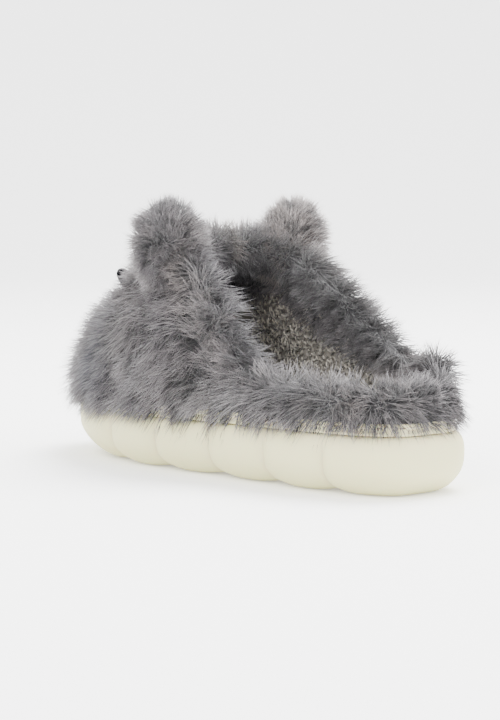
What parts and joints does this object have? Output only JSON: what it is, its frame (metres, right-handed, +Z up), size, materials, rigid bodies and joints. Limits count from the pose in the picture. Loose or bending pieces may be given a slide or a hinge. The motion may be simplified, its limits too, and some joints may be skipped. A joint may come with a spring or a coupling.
{
  "type": "novelty slipper",
  "caption": "Furry slip-on slipper with a low back, small round animal ears, stitched eyes and a thick lobed foam sole.",
  "frame": {"origin": "on the floor under the sole, halfway along it and on the line between heel and waist", "axes": "+Y towards the toe, +X towards the big toe's side, +Z up"},
  "size_m": [0.1302, 0.2803, 0.1431],
  "materials": {
    "sole_foam": "matte moulded foam",
    "welt_foam": "matte moulded foam",
    "lining_pile": "short curly pile",
    "grey_fur": "long soft pile",
    "black_yarn": "stitched yarn"
  },
  "bodies": {
    "root": {"sole": "sole_foam", "welt": "welt_foam", "footbed": "lining_pile", "upper": "grey_fur", "ear_lateral": "grey_fur", "ear_medial": "grey_fur", "eye_lateral": "black_yarn", "eye_medial": "black_yarn"}
  },
  "joints": []
}
